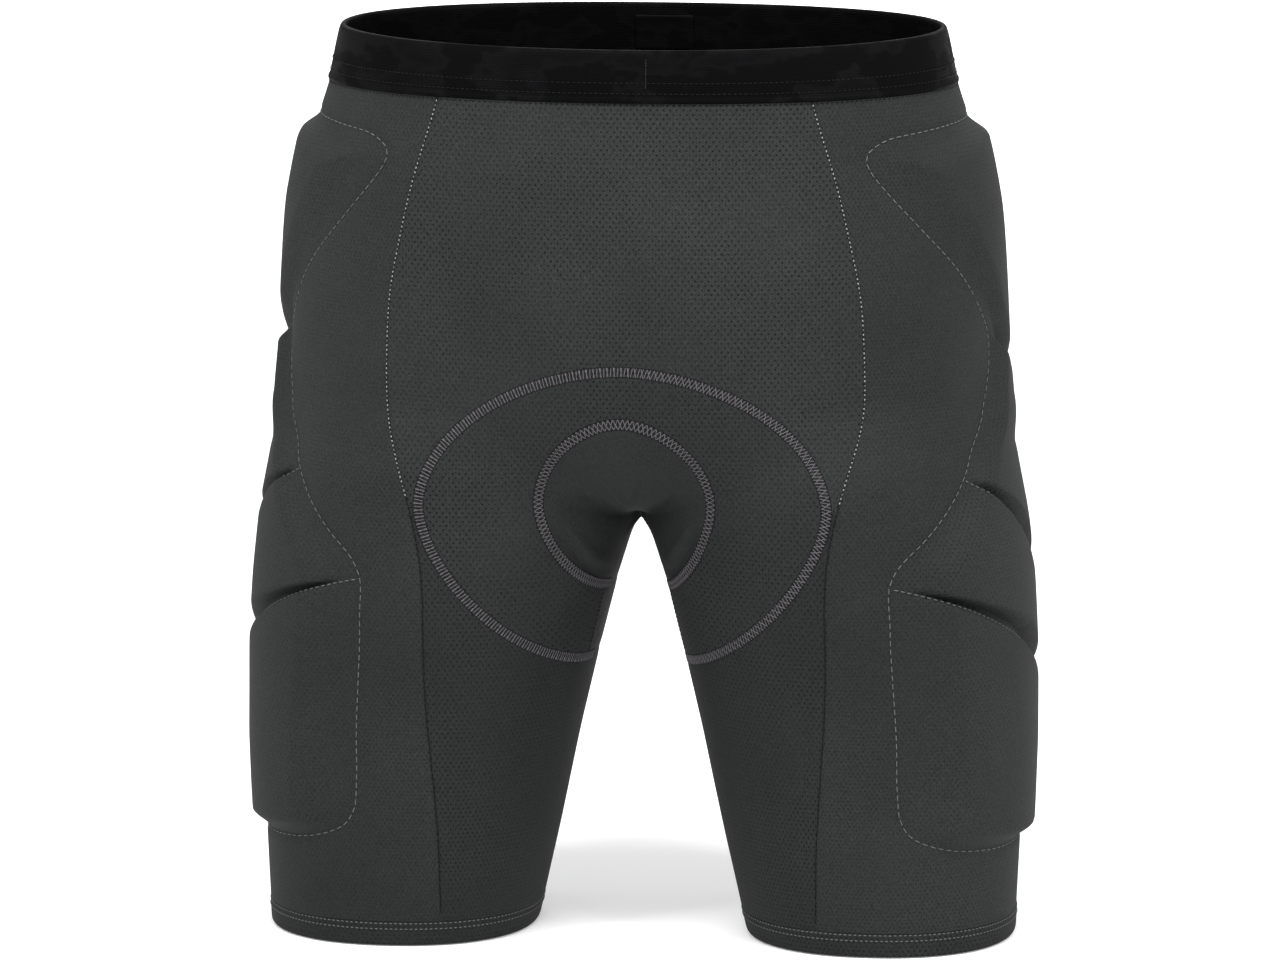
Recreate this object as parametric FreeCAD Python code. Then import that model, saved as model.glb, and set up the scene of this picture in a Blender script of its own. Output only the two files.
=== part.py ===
"""Padded impact shorts in their worn shape: sewn knit panels, waistband, hems,
side pads in pockets, a tailbone pad and a seat pad. Millimetres, +Z up, the wearer
faces -Y, the two hems stand on z = 0 and x = 0 is the centre line."""
import FreeCAD, Part
import math
import os

V = FreeCAD.Vector

# driving dimensions
HEIGHT = 455.0          # outseam, hem to top of the waistband
BAND_BOTTOM = 428.0     # lower edge of the waistband
HEM_TOP = 12.0          # height of the turned hem
CROTCH_Z = 211.0        # lowest point of the crotch
FABRIC = 1.2            # knit panel thickness
PAD = 7.0               # foam thickness of a side pad
COVER = 1.0             # knit stretched over a pad
TAIL_PAD = 5.0          # foam thickness of the tailbone pad
GROOVE = 5.0            # width of a flex groove in the thigh pad
SEAM = 0.05             # clearance between pieces sewn edge to edge
OVER = 30.0             # how far cutting tools run past the garment
MIDDLE = 13.0           # the sections' side line lies this far in front of the box's middle

# torso sections: height, half width, front depth, back depth
TORSO = [
    (455.0, 149.5, 92.0, 98.0),
    (428.0, 155.0, 95.0, 102.0),
    (400.0, 165.0, 98.0, 108.0),
    (365.0, 171.2, 101.0, 117.0),
    (325.0, 174.0, 102.0, 126.0),
    (285.0, 176.5, 100.5, 127.0),
    (252.0, 179.0, 97.0, 122.0),
]
# rounded underside of the torso, hidden at the sides by the legs
SEAT = [
    (238.0, 166.0, 93.0, 112.0),
    (224.0, 136.0, 80.0, 96.0),
    (215.0, 95.0, 60.0, 74.0),
    (211.0, 52.0, 36.0, 46.0),
]
# leg sections: height, inner edge, outer edge, front depth, back depth
LEG = [
    (270.0, -4.0, 160.0, 84.0, 104.0),
    (240.0, -3.0, 178.5, 92.0, 113.0),
    (210.0, 2.5, 184.8, 92.5, 110.5),
    (180.0, 12.5, 188.2, 89.0, 103.0),
    (145.0, 21.2, 190.2, 84.5, 95.0),
    (100.0, 31.5, 190.7, 79.0, 88.0),
    (50.0, 42.0, 190.0, 74.0, 81.0),
    (0.0, 53.5, 187.8, 70.0, 76.0),
]
ROUNDNESS = 2.2         # superellipse exponent of every section
SECTION_POINTS = 24

# front view outlines, x against z
PRINCESS = [(90.5, 428.0), (104.0, 387.0), (116.5, 330.0), (118.5, 270.0), (106.0, 230.0),
            (99.0, 195.0), (99.5, 130.0), (94.0, 60.0), (93.0, 0.0)]
OVAL_Z, OVAL_HALF, OVAL_UP, OVAL_DOWN = 226.0, 100.5, 69.5, 87.0
RING_Z, RING_HALF, RING_UP, RING_DOWN = 226.0, 42.5, 43.5, 53.0

# side view outlines of the pads, y against z
HIP_PAD = [(-50, 408), (46, 408), (72, 392), (74, 350), (56, 300), (48, 256), (-12, 303),
           (-34, 326), (-64, 354), (-73, 396), (-68, 402)]
THIGH_PAD = [(-12, 293), (48, 246), (62, 210), (70, 160), (69, 60), (60, 52), (-64, 52), (-72, 58),
             (-77, 110), (-83, 170), (-84, 196), (-78, 208), (-56, 238), (-32, 270)]
# flex grooves, front end and back end (y, z)
UPPER_GROOVE = ((-70, 250), (84, 127))
LOWER_GROOVE = ((-100, 197), (84, 88))
TAIL_OUTLINE = [(-30, 396), (30, 396), (44, 358), (34, 320), (14, 304), (-14, 304), (-34, 320),
                (-44, 358)]


def superellipse(half, exponent, count, start=0.0):
    """Unit points round a superellipse with its own exponent, counted from angle start."""
    points = []
    for i in range(count):
        t = start + 2 * math.pi * i / count
        c, s = math.cos(t), math.sin(t)
        x = math.copysign(abs(c) ** (2 / exponent), c)
        y = math.copysign(abs(s) ** (2 / exponent), s)
        points.append((half * x, y))
    return points


def section(z, centre, half, front, back, grow):
    """Closed smooth curve of one section, its half sizes grown by grow."""
    points = []
    for x, y in superellipse(half + grow, ROUNDNESS, SECTION_POINTS):
        depth = (front if y < 0 else back) + grow
        points.append(V(centre + x, y * depth, z))
    curve = Part.BSplineCurve()
    curve.interpolate(points, PeriodicFlag=True)
    return Part.Wire(curve.toShape())


def body(grow):
    """Solid of the whole worn shape with its surface moved out by grow."""
    torso = []
    top = TORSO[0]
    torso.append(section(HEIGHT + max(0.0, -grow) * 2 + 5, 0, *top[1:], grow))
    for z, half, front, back in TORSO + SEAT:
        torso.append(section(z - (grow if z == CROTCH_Z else 0), 0, half, front, back, grow))
    solid = Part.makeLoft(torso, True, True)
    for side in (-1, 1):
        rows = []
        for z, inner, outer, front, back in LEG:
            rows.append(section(z, side * (inner + outer) / 2, (outer - inner) / 2, front, back, grow))
        z, inner, outer, front, back = LEG[-1]
        rows.append(section(-OVER / 3, side * (inner + outer) / 2, (outer - inner) / 2,
                            front, back, grow))
        solid = solid.fuse(Part.makeLoft(rows, True, True))
    return solid


def slab(low, high):
    """Everything between two heights."""
    return Part.makeBox(600, 500, high - low, V(-300, -250, low))


def prism(points, plane, low, high):
    """Extruded outline: plane 'xz' runs along y, plane 'yz' runs along x."""
    if plane == "xz":
        corners = [V(a, low, b) for a, b in points]
        way = V(0, high - low, 0)
    else:
        corners = [V(low, a, b) for a, b in points]
        way = V(high - low, 0, 0)
    wire = Part.makePolygon(corners + corners[:1])
    return Part.Face(wire).extrude(way)


def egg(z, half, up, down, grow=0.0):
    """Oval outline that is round above z and tapers below it, run through front to back."""
    points = []
    for x, y in superellipse(half + grow, 1.9, 32):
        points.append(V(x, -250, z + y * (up + grow if y > 0 else down + grow)))
    curve = Part.BSplineCurve()
    curve.interpolate(points, PeriodicFlag=True)
    return Part.Face(Part.Wire(curve.toShape())).extrude(V(0, 500, 0))


def middle_zone(gap):
    """Zone between the two princess seams, front to back, less a seam gap."""
    right = [(x - gap, z) for x, z in PRINCESS]
    right = [(right[0][0], HEIGHT + OVER)] + right + [(right[-1][0], -OVER)]
    left = [(-x, z) for x, z in reversed(right)]
    return prism(right + left, "xz", -250, 250)


def half_space(axis, side):
    """Half of space on one side of x = 0 or y = 0."""
    if axis == "x":
        return Part.makeBox(300, 500, 600, V(0 if side > 0 else -300, -250, -OVER))
    return Part.makeBox(600, 250, 600, V(-300, 0 if side > 0 else -250, -OVER))


def grown(points, amount):
    """Outline moved out from its own centre by about amount."""
    cy = sum(p[0] for p in points) / len(points)
    cz = sum(p[1] for p in points) / len(points)
    out = []
    for y, z in points:
        length = math.hypot(y - cy, z - cz)
        out.append((y + (y - cy) / length * amount, z + (z - cz) / length * amount))
    return out


def side_prism(points, side, grow=0.0):
    """Pad outline run outwards from the inside of one side of the garment."""
    low, high = (100, 250) if side > 0 else (-250, -100)
    return prism(grown(points, grow), "yz", low, high)


def groove_tool(ends, side):
    """Slanted slot that parts two segments of the thigh pad."""
    (y0, z0), (y1, z1) = ends
    half = GROOVE / 2
    outline = [(y0, z0 - half), (y1, z1 - half), (y1, z1 + half), (y0, z0 + half)]
    low, high = (100, 250) if side > 0 else (-250, -100)
    return prism(outline, "yz", low, high)


def save(shape, name):
    """Write one piece and say how big it is."""
    solids = [s for s in shape.Solids if s.Volume > 20]
    piece = solids[0] if len(solids) == 1 else Part.makeCompound(solids)
    piece.translate(V(0, -MIDDLE, 0))
    piece.exportStep("parts/%s.step" % name)
    print("%-26s solids %d volume %.1f cm3 valid %s" % (
        name, len(solids), piece.Volume / 1000, piece.isValid()))


def waistband():
    """Folded elastic waistband: woven cover round a sealed elastic core."""
    zone = slab(BAND_BOTTOM, HEIGHT)
    cover = body(0.6).cut(body(-2.6)).common(zone)
    core = body(-0.2).cut(body(-1.8)).common(slab(BAND_BOTTOM + 2, HEIGHT - 1))
    save(cover.cut(core), "waistband_cover")
    save(core, "waistband_elastic")


def front_and_back(skin):
    """Front and back body panels, above the oval insert."""
    upper = skin.common(middle_zone(SEAM)).common(slab(OVAL_Z, BAND_BOTTOM - SEAM))
    upper = upper.cut(egg(OVAL_Z, OVAL_HALF, OVAL_UP, OVAL_DOWN, SEAM))
    save(upper.common(half_space("y", -1)), "front_panel")
    save(upper.common(half_space("y", 1)), "back_panel")


def crotch(skin):
    """Oval insert round the crotch and the plain gusset inside its ring seam."""
    oval = skin.common(egg(OVAL_Z, OVAL_HALF, OVAL_UP, OVAL_DOWN)).common(middle_zone(SEAM))
    ring = egg(RING_Z, RING_HALF, RING_UP, RING_DOWN)
    save(oval.cut(egg(RING_Z, RING_HALF, RING_UP, RING_DOWN, SEAM)), "oval_insert")
    save(oval.common(ring), "crotch_gusset")


def legs(skin):
    """Leg panels between the princess seams and the inseam, front and back."""
    lower = skin.common(middle_zone(SEAM)).common(slab(HEM_TOP + SEAM, OVAL_Z - SEAM))
    lower = lower.cut(egg(OVAL_Z, OVAL_HALF, OVAL_UP, OVAL_DOWN, SEAM))
    for side, name in ((-1, "right"), (1, "left")):
        leg = lower.common(half_space("x", side))
        save(leg.common(half_space("y", -1)), "leg_front_panel_" + name)
        save(leg.common(half_space("y", 1)), "leg_back_panel_" + name)


def side(skin, base, inner, cover_top, foam_top, hand, name):
    """Side panel that runs over the pads, the foam pads and the pocket linings."""
    zone = half_space("x", hand).common(slab(HEM_TOP + SEAM, BAND_BOTTOM - SEAM))
    zone = zone.cut(middle_zone(0))
    hip = side_prism(HIP_PAD, hand)
    thigh = side_prism(THIGH_PAD, hand)
    foam_zone = hip.fuse(thigh)
    cover_zone = side_prism(HIP_PAD, hand, COVER).fuse(side_prism(THIGH_PAD, hand, COVER))
    hollow = inner.fuse(foam_top.common(foam_zone))
    panel = base.fuse(cover_top.common(cover_zone)).common(zone).cut(hollow)
    save(panel, "side_panel_" + name)
    save(skin.common(hip).common(zone), "hip_pocket_lining_" + name)
    save(skin.common(thigh).common(zone), "thigh_pocket_lining_" + name)
    layer = foam_top.cut(base)
    save(layer.common(hip).common(zone), "hip_pad_" + name)
    foam = layer.common(thigh).common(zone)
    foam = foam.cut(groove_tool(UPPER_GROOVE, hand)).cut(groove_tool(LOWER_GROOVE, hand))
    segments = sorted([s for s in foam.Solids if s.Volume > 1000], key=lambda s: -s.CenterOfMass.z)
    for segment, level in zip(segments, ("upper", "middle", "lower")):
        save(segment, "thigh_pad_%s_%s" % (level, name))


def hems():
    """Turned hems and the gripper elastics inside them."""
    ring = body(0).cut(body(-2 * FABRIC)).common(slab(0, HEM_TOP))
    grip = body(-2 * FABRIC - SEAM).cut(body(-2 * FABRIC - 0.8)).common(slab(2, HEM_TOP - 2))
    for hand, name in ((-1, "right"), (1, "left")):
        save(ring.common(half_space("x", hand)), "hem_" + name)
        save(grip.common(half_space("x", hand)), "hem_gripper_" + name)


def tail_pad():
    """Tailbone pad and the pocket lining behind it, inside the back panel."""
    outline = prism(TAIL_OUTLINE, "xz", 40, 250)
    foam = body(-FABRIC - SEAM).cut(body(-FABRIC - TAIL_PAD)).common(outline)
    lining = body(-FABRIC - TAIL_PAD - SEAM).cut(body(-FABRIC - TAIL_PAD - 0.8))
    save(foam, "tailbone_pad")
    save(lining.common(outline), "tailbone_pocket_lining")


def seat_pad():
    """Seat pad inside the crotch: foam against the gusset, soft facing above it."""
    outline = egg(RING_Z, RING_HALF, RING_UP, RING_DOWN, -3)
    legs_clear = slab(CROTCH_Z + 2, HEIGHT)
    foam = body(-FABRIC - SEAM).cut(body(-FABRIC - 4)).common(outline).common(legs_clear)
    facing = body(-FABRIC - 4 - SEAM).cut(body(-FABRIC - 5)).common(outline).common(legs_clear)
    save(foam, "seat_pad_foam")
    save(facing, "seat_pad_facing")


def label():
    """Blank size label sewn inside the back of the waistband."""
    width, drop = 30.0, 18.0
    zone = Part.makeBox(width, 120, drop, V(-width / 2, 60, HEIGHT - drop - 6))
    save(body(-2.6 - SEAM).cut(body(-3.2)).common(zone), "size_label")


def build():
    os.makedirs("parts", exist_ok=True)
    base = body(0)
    inner = body(-FABRIC)
    skin = base.cut(inner)
    foam_top = body(PAD)
    cover_top = body(PAD + COVER)
    waistband()
    front_and_back(skin)
    crotch(skin)
    legs(skin)
    for hand, name in ((-1, "right"), (1, "left")):
        side(skin, base, inner, cover_top, foam_top, hand, name)
    hems()
    tail_pad()
    seat_pad()
    label()


build()
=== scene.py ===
"""Padded impact shorts: the visual model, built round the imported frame.

Shapes are worked out in millimetres from the side line of the garment (y = 0 there) and
moved to the frame, in metres, when each piece is made.
"""
import math

import bpy
import numpy as np
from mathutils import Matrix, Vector


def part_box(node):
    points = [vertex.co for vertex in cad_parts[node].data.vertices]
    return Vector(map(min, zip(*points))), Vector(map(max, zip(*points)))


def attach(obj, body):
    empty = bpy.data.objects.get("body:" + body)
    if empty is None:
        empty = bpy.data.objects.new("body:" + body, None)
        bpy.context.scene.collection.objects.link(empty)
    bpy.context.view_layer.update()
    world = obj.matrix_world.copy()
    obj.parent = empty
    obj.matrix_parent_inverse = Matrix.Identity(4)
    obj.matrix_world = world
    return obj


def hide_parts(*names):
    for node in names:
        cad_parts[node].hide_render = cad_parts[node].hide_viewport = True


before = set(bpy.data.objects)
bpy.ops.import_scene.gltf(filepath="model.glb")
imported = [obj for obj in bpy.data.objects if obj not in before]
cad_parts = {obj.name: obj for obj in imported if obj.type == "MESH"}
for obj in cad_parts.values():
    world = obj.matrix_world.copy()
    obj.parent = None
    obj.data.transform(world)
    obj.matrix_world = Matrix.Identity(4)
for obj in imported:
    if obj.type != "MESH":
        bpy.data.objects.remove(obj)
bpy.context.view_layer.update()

MM = 0.001
SIDES = ((-1, "right"), (1, "left"))
MIDDLE = 13.0                                        # side line to the middle of the box
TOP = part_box("waistband_cover")[1].z / MM            # top edge of the waistband
BAND_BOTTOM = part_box("waistband_cover")[0].z / MM
HEM_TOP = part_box("hem_left")[1].z / MM
FABRIC = 1.0                                         # thickness of one knit layer
PAD = 6.8                                            # how far a pad lifts its cover
CROWN = 1.2                                          # extra lift far from a pad's edge
BEVEL = 12.0                                         # width of a pad's sloping edge
GRID = 1.6                    # mesh spacing
DIP = 3.0                                            # how much lower the band is at the front

# torso sections: height, half width, front depth, back depth
TORSO = [
    (470.0, 146.8, 90.5, 96.5), (455.0, 149.5, 92.0, 98.0), (428.0, 155.0, 95.0, 102.0),
    (400.0, 165.0, 98.0, 108.0), (365.0, 171.2, 101.0, 117.0), (325.0, 174.0, 102.0, 126.0),
    (285.0, 176.5, 100.5, 127.0), (252.0, 179.0, 97.0, 122.0), (200.0, 181.0, 92.0, 112.0),
]
# leg sections: height, inner edge, outer edge, front depth, back depth
LEG = [
    (300.0, -5.0, 171.0, 86.0, 110.0), (240.0, -2.0, 179.0, 94.0, 116.0),
    (210.0, 2.5, 184.8, 92.5, 110.5), (180.0, 12.5, 188.2, 89.0, 103.0),
    (145.0, 21.2, 190.2, 84.5, 95.0), (100.0, 31.5, 190.7, 79.0, 88.0),
    (50.0, 42.0, 190.0, 74.0, 81.0), (0.0, 53.5, 187.8, 70.0, 76.0),
    (-15.0, 57.0, 187.2, 69.0, 74.5),
]
ROUNDNESS = 2.2
BOWL_TOP, BOWL_LOW = 268.0, 213.0                    # rounded underside of the torso
LEG_FADE, LEG_END = 238.0, 305.0                     # where the legs close inside the torso
BLEND = 15.0                                         # radius of the fillet between them

# front view outlines, x against z
PRINCESS = [(86.0, 460.0), (90.5, 428.0), (104.0, 387.0), (116.5, 330.0), (118.5, 270.0),
            (106.0, 230.0), (99.0, 195.0), (99.5, 130.0), (94.0, 60.0), (93.0, -20.0)]
OVAL = dict(z=226.0, half=100.5, up=69.5, down=92.0)
RING = dict(z=226.0, half=42.5, up=43.5, down=56.0)
EGG_UP, EGG_DOWN = 1.85, 1.62                        # roundness of an egg's two halves

# side view outlines, y against z
UPPER_EDGE = [(-32, 326), (-60, 362), (-73, 392), (-68, 405), (-50, 409), (-10, 411), (46, 408),
              (72, 390), (76, 350), (60, 300)]
LOWER_EDGE = [(62, 212), (70, 160), (72, 100), (70, 62), (60, 52), (30, 50.5), (0, 50), (-28, 50),
              (-48, 50.8), (-62, 53.2), (-70, 58.5), (-73.4, 68), (-75.4, 86), (-77.6, 110),
              (-83.5, 165), (-85, 194), (-77, 212), (-56, 238), (-30, 268)]
HIP_OUTLINE = UPPER_EDGE + [(48, 256), (18, 280), (-10, 304)]
THIGH_OUTLINE = LOWER_EDGE + [(-10, 294), (18, 272), (48, 249)]
SHORTS_OUTLINE = UPPER_EDGE + [(50, 262)] + LOWER_EDGE + [(-16, 300)]
# flex grooves: two ends and the valley's half width
GROOVES = [((-90, 363), (56, 249), 15.0), ((-62, 243), (78, 132), 14.0), ((-92, 192), (78, 90), 14.0)]
TAIL_OUTLINE = [(-30, 396), (30, 396), (44, 358), (34, 320), (14, 304), (-14, 304), (-34, 320),
                (-44, 358)]

# soft folds of the inner thighs, mirrored: two ends, width, height
FOLDS = [((36, 217), (18, 182), 2.4, -1.9), ((31, 214), (13, 186), 2.8, 1.2),
         ((24, 232), (3, 214), 3.2, -1.6), ((12, 240), (0, 216), 2.6, 1.3)]


# ---- numbers along a height

def ease(t):
    """From 0 to 1, level at both ends."""
    return t * t * (3 - 2 * t)


def smooth_table(table, reach=9.0):
    """Columns of a table as smooth functions of height, sampled every millimetre."""
    rows = np.array(sorted(table), float)
    heights = np.arange(rows[0, 0], rows[-1, 0] + 0.5, 1.0)
    offsets = np.arange(-3 * reach, 3 * reach + 1)
    weights = np.exp(-0.5 * (offsets / reach) ** 2)
    weights /= weights.sum()
    columns = []
    for column in range(1, rows.shape[1]):
        values = np.interp(heights, rows[:, 0], rows[:, column])
        padded = np.pad(values, len(offsets) // 2, mode="reflect", reflect_type="odd")
        columns.append(np.convolve(padded, weights, mode="valid"))
    return heights, columns


TORSO_Z, TORSO_COLUMNS = smooth_table(TORSO)
LEG_Z, LEG_COLUMNS = smooth_table(LEG, 6.0)
SEAM_Z, SEAM_COLUMNS = smooth_table([(z, x) for x, z in PRINCESS], 12.0)


def torso_at(z):
    return [np.interp(z, TORSO_Z, c) for c in TORSO_COLUMNS]


def leg_at(z):
    return [np.interp(z, LEG_Z, c) for c in LEG_COLUMNS]


def princess_at(z):
    return np.interp(z, SEAM_Z, SEAM_COLUMNS[0])


# ---- the worn shape

def ray_level(x, y, half, front, back):
    """Signed distance to a superellipse, measured along the ray from its centre."""
    depth = np.where(y < 0, front, back)
    r = (np.abs(x / half) ** ROUNDNESS + np.abs(y / depth) ** ROUNDNESS) ** (1 / ROUNDNESS)
    length = np.hypot(x, y)
    return np.where(r > 1e-6, length * (1 - 1 / np.maximum(r, 1e-6)), -half)


def body_level(p):
    """Signed level of the bare worn shape: negative inside, in about millimetres."""
    x, y, z = p[..., 0], p[..., 1], p[..., 2]
    half, front, back = torso_at(z)
    bowl = np.clip((BOWL_TOP - z) / (BOWL_TOP - BOWL_LOW), 0, 1.6)
    shrink = np.sqrt(np.clip(1 - bowl ** 2, 1e-3, 1))
    torso = ray_level(x, y, half * shrink, front * shrink, back * shrink)
    torso = np.where(z < BOWL_TOP, np.maximum(torso * 0.8, (BOWL_LOW - z) * 0.8), torso)
    inner, outer, front, back = leg_at(z)
    fade = np.clip((z - LEG_FADE) / (LEG_END - LEG_FADE), 0, 1.6)
    shrink = np.sqrt(np.clip(1 - fade ** 2, 1e-3, 1))
    half = (outer - inner) / 2
    leg = ray_level(np.abs(x) - (inner + outer) / 2, y, half * shrink, front * shrink,
                    back * shrink)
    near = np.clip(0.5 + 0.5 * (leg - torso) / BLEND, 0, 1)
    joined = leg * (1 - near) + torso * near - BLEND * near * (1 - near)
    inside_crotch = np.clip((z - 185) / 20, 0, 1)
    return joined * inside_crotch + leg * (1 - inside_crotch)


def slope_at(p, step):
    """Change of the level across each point, along x, y and z."""
    slope = np.empty_like(p)
    for axis in range(3):
        shift = np.zeros(3)
        shift[axis] = step
        slope[..., axis] = body_level(p + shift) - body_level(p - shift)
    return slope


def level_normal(p):
    """Unit normals of the worn shape."""
    out = slope_at(p, 0.6)
    out /= np.maximum(np.linalg.norm(out, axis=-1, keepdims=True), 1e-9)
    return out


def settle(p, rounds=4):
    """Move points onto the worn shape along its normals."""
    for _ in range(rounds):
        slope = slope_at(p, 0.5)
        size = np.maximum((slope ** 2).sum(1), 0.15)
        move = body_level(p) / size
        p = p - slope * np.clip(move, -6, 6)[:, None]
    return p


def surface_net(spacing):
    """Closed quad net over the worn shape, one point in each grid cell it crosses."""
    xs = np.arange(-196, 196 + spacing, spacing)
    ys = np.arange(-112, 140 + spacing, spacing)
    zs = np.arange(-12, 468, spacing)
    shape = (len(xs), len(ys), len(zs))
    level = np.empty(shape, np.float32)
    gx, gy = np.meshgrid(xs, ys, indexing="ij")
    for k, z in enumerate(zs):
        level[:, :, k] = body_level(np.stack([gx, gy, np.full_like(gx, z)], -1))
    inside = level < 0
    cells = np.zeros(tuple(n - 1 for n in shape), bool)
    quads = []
    full = (slice(None), slice(None), slice(None))
    for axis in range(3):
        low = list(full)
        high = list(full)
        low[axis] = slice(None, -1)
        high[axis] = slice(1, None)
        change = inside[tuple(low)] != inside[tuple(high)]
        others = [a for a in range(3) if a != axis]
        trim = list(full)
        for a in others:
            trim[a] = slice(1, -1)
        edge = np.argwhere(change[tuple(trim)])
        for a in others:
            edge[:, a] += 1
        outward = inside[edge[:, 0], edge[:, 1], edge[:, 2]]
        corners = []
        for da, db in ((1, 1), (0, 1), (0, 0), (1, 0)):
            cell = edge.copy()
            cell[:, others[0]] -= da
            cell[:, others[1]] -= db
            cells[cell[:, 0], cell[:, 1], cell[:, 2]] = True
            corners.append(np.ravel_multi_index(cell.T, cells.shape))
        quad = np.stack(corners, 1)
        flip = outward if axis != 1 else ~outward
        quad[~flip] = quad[~flip][:, ::-1]
        quads.append(quad)
    active = np.flatnonzero(cells)
    number = np.full(cells.size, -1, np.int64)
    number[active] = np.arange(len(active))
    cell = np.stack(np.unravel_index(active, cells.shape), 1)
    points = np.stack([xs[cell[:, 0]], ys[cell[:, 1]], zs[cell[:, 2]]], 1) + spacing / 2
    return points, number[np.concatenate(quads)]


def relax(points, quads, rounds):
    """Even out the net's spacing without leaving the surface."""
    pairs = np.concatenate([quads[:, [0, 1]], quads[:, [1, 2]], quads[:, [2, 3]], quads[:, [3, 0]]])
    ends = np.concatenate([pairs[:, 0], pairs[:, 1]])
    mates = np.concatenate([pairs[:, 1], pairs[:, 0]])
    count = np.bincount(ends, minlength=len(points))[:, None]
    for _ in range(rounds):
        total = np.stack([np.bincount(ends, points[mates, a], len(points)) for a in range(3)], 1)
        points = settle(points * 0.4 + 0.6 * total / np.maximum(count, 1), 1)
    return settle(points, 2)


# ---- outlines

def smooth_loop(corners, density=9):
    """Closed outline through given corners, rounded by a Catmull-Rom curve."""
    pts = np.array(corners, float)
    before, after, later = np.roll(pts, 1, 0), np.roll(pts, -1, 0), np.roll(pts, -2, 0)
    out = []
    for i in range(density):
        t = i / density
        out.append(0.5 * (2 * pts + (after - before) * t
                          + (2 * before - 5 * pts + 4 * after - later) * t ** 2
                          + (3 * pts - before - 3 * after + later) * t ** 3))
    return np.stack(out, 1).reshape(-1, 2)


def inside_distance(loop, a, b):
    """Distance to a closed outline, positive inside it."""
    best = np.full(len(a), 1e9)
    inside = np.zeros(len(a), bool)
    for start, end in zip(loop, np.roll(loop, -1, 0)):
        way = end - start
        t = np.clip(((a - start[0]) * way[0] + (b - start[1]) * way[1]) / (way @ way + 1e-9), 0, 1)
        gap = np.hypot(a - start[0] - t * way[0], b - start[1] - t * way[1])
        best = np.minimum(best, gap)
        crosses = (start[1] > b) != (end[1] > b)
        rise = way[1] if abs(way[1]) > 1e-9 else 1e-9
        inside ^= crosses & (a < start[0] + (b - start[1]) * way[0] / rise)
    return np.where(inside, best, -best)


def egg_level(x, z, egg, grow=0.0):
    """Positive inside an egg outline, in about millimetres."""
    up = np.where(z > egg["z"], egg["up"], egg["down"]) + grow
    power = np.where(z > egg["z"], EGG_UP, EGG_DOWN)
    half = egg["half"] + grow
    r = (np.abs(x / half) ** power + np.abs((z - egg["z"]) / up) ** power) ** (1 / power)
    return np.hypot(x, z - egg["z"]) * (1 / np.maximum(r, 1e-6) - 1)


HIP_LOOP = smooth_loop(HIP_OUTLINE)
THIGH_LOOP = smooth_loop(THIGH_OUTLINE)
SHORTS_LOOP = smooth_loop(SHORTS_OUTLINE)
TAIL_LOOP = smooth_loop(TAIL_OUTLINE)


def above_groove(groove, y, z):
    """Signed distance above one flex groove."""
    (y0, z0), (y1, z1) = groove[:2]
    length = math.hypot(y1 - y0, z1 - z0)
    return ((z - z0) * (y1 - y0) - (y - y0) * (z1 - z0)) / length


def groove_share(y, z):
    """Share of the pads' lift left by the flex grooves.

    The deepest part lies above the stitched line, and opens towards the back."""
    share = np.ones(len(y))
    for groove in GROOVES:
        (y0, z0), (y1, z1), width = groove
        along = ((y - y0) * (y1 - y0) + (z - z0) * (z1 - z0)) / math.hypot(y1 - y0, z1 - z0) ** 2
        reach = width * np.clip(along * 2.4, 0.14, 1)
        gap = above_groove(groove, y, z) - 0.42 * reach
        above = np.clip((gap - 0.16 * reach) / (0.45 * reach), 0, 1)
        below = np.clip((-gap - 0.16 * reach) / (0.40 * reach), 0, 1)
        share *= np.where(gap > 0, np.sin(above * math.pi / 2), ease(below))
    return share


def bevel_at(y, z):
    """Width of the pads' sloping edge: widest at the top front, narrow at the bottom."""
    front = np.clip(-y / 40, 0, 1)
    return BEVEL + front * (3 + 8 * np.clip((z - 300) / 90, 0, 1)) - 6 * np.clip((80 - z) / 20, 0, 1)


def beside_pads(p):
    """Which points lie on the sides, at the height of the pads."""
    return (np.abs(p[:, 0]) > 88) & (p[:, 2] > 40) & (p[:, 2] < 420)


def pad_lift(p):
    """How far the side pads push the knit out at each point."""
    y, z = p[:, 1], p[:, 2]
    lift = np.zeros(len(p))
    near = beside_pads(p)
    y, z = y[near], z[near]
    rim = inside_distance(SHORTS_LOOP, y, z)
    inside = np.clip((rim - 0.8) / bevel_at(y, z), 0, 1)
    crown = CROWN * np.clip(rim / 45, 0, 1) ** 0.7
    lift[near] = ease(inside) * (PAD + crown) * groove_share(y, z)
    return lift


def tail_lift(p):
    """Slight swelling of the back panel over the tailbone pad."""
    lift = np.zeros(len(p))
    near = (p[:, 1] > 60) & (np.abs(p[:, 0]) < 60) & (p[:, 2] > 285) & (p[:, 2] < 410)
    rim = inside_distance(TAIL_LOOP, p[near, 0], p[near, 2])
    t = np.clip(rim / 8.0, 0, 1)
    lift[near] = 2.6 * ease(t)
    return lift


def fold(x, z, start, end, width, height):
    """One soft fold: a ridge along a line, fading at both its ends."""
    start = np.array(start, float)
    way = np.array(end, float) - start
    length = math.hypot(*way)
    along = ((x - start[0]) * way[0] + (z - start[1]) * way[1]) / length ** 2
    across = ((x - start[0]) * way[1] - (z - start[1]) * way[0]) / length
    fade = np.clip(along * 4, 0, 1) * np.clip((1 - along) * 4, 0, 1)
    return height * fade * np.exp(-(across / width) ** 2)


def fold_lift(p):
    """Soft folds of the gusset and the inner thighs."""
    x, y, z = p[:, 0], p[:, 1], p[:, 2]
    lift = np.zeros(len(p))
    front = (y < 30).astype(float)
    for side in (-1, 1):
        u = x * side
        for each in FOLDS:
            lift += fold(u, z, *each) * front
    lift += 0.25 * np.sin(x / 23 + 1.3 * np.sin(z / 31)) * np.sin(z / 37 + x / 61)
    return lift


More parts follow.
